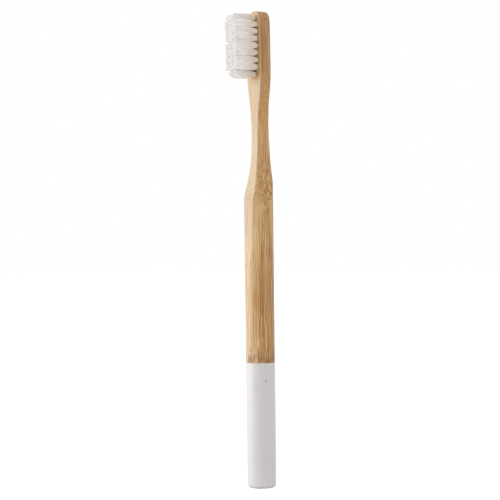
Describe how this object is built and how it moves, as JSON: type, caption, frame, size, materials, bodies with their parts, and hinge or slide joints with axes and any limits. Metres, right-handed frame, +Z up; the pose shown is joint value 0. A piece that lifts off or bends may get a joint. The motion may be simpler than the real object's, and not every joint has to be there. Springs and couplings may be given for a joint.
{
  "type": "manual toothbrush",
  "caption": "Bamboo manual toothbrush: round grip with a white dipped end and a thumb flat, narrow planed neck, flat head set with soft white nylon bristle tufts.",
  "frame": {"origin": "middle of the flat lower end of the dipped grip, on the grip's axis", "axes": "+Z up the handle to the head, -Y the way the bristles point, X across the head"},
  "size_m": [0.0114, 0.0177, 0.185],
  "materials": {
    "bamboo": "sanded, lightly oiled",
    "white_lacquer": "dipped, satin",
    "nylon_bristle": "fine drawn filament",
    "anchor_wire": "bright drawn"
  },
  "bodies": {
    "root": {"handle": "bamboo", "dip_coat": "white_lacquer", "tuft_anchors": "anchor_wire", "tuft_1_left": "nylon_bristle", "tuft_1_right": "nylon_bristle", "tuft_2_left": "nylon_bristle", "tuft_2_middle": "nylon_bristle", "tuft_2_right": "nylon_bristle", "tuft_3_left": "nylon_bristle", "tuft_3_middle": "nylon_bristle", "tuft_3_right": "nylon_bristle", "tuft_4_left": "nylon_bristle", "tuft_4_middle": "nylon_bristle", "tuft_4_right": "nylon_bristle", "tuft_5_left": "nylon_bristle", "tuft_5_middle": "nylon_bristle", "tuft_5_right": "nylon_bristle", "tuft_6_left": "nylon_bristle", "tuft_6_middle": "nylon_bristle", "tuft_6_right": "nylon_bristle", "tuft_7_left": "nylon_bristle", "tuft_7_middle": "nylon_bristle", "tuft_7_right": "nylon_bristle", "tuft_8_left": "nylon_bristle", "tuft_8_middle": "nylon_bristle", "tuft_8_right": "nylon_bristle", "tuft_9_left": "nylon_bristle", "tuft_9_right": "nylon_bristle"}
  },
  "joints": []
}
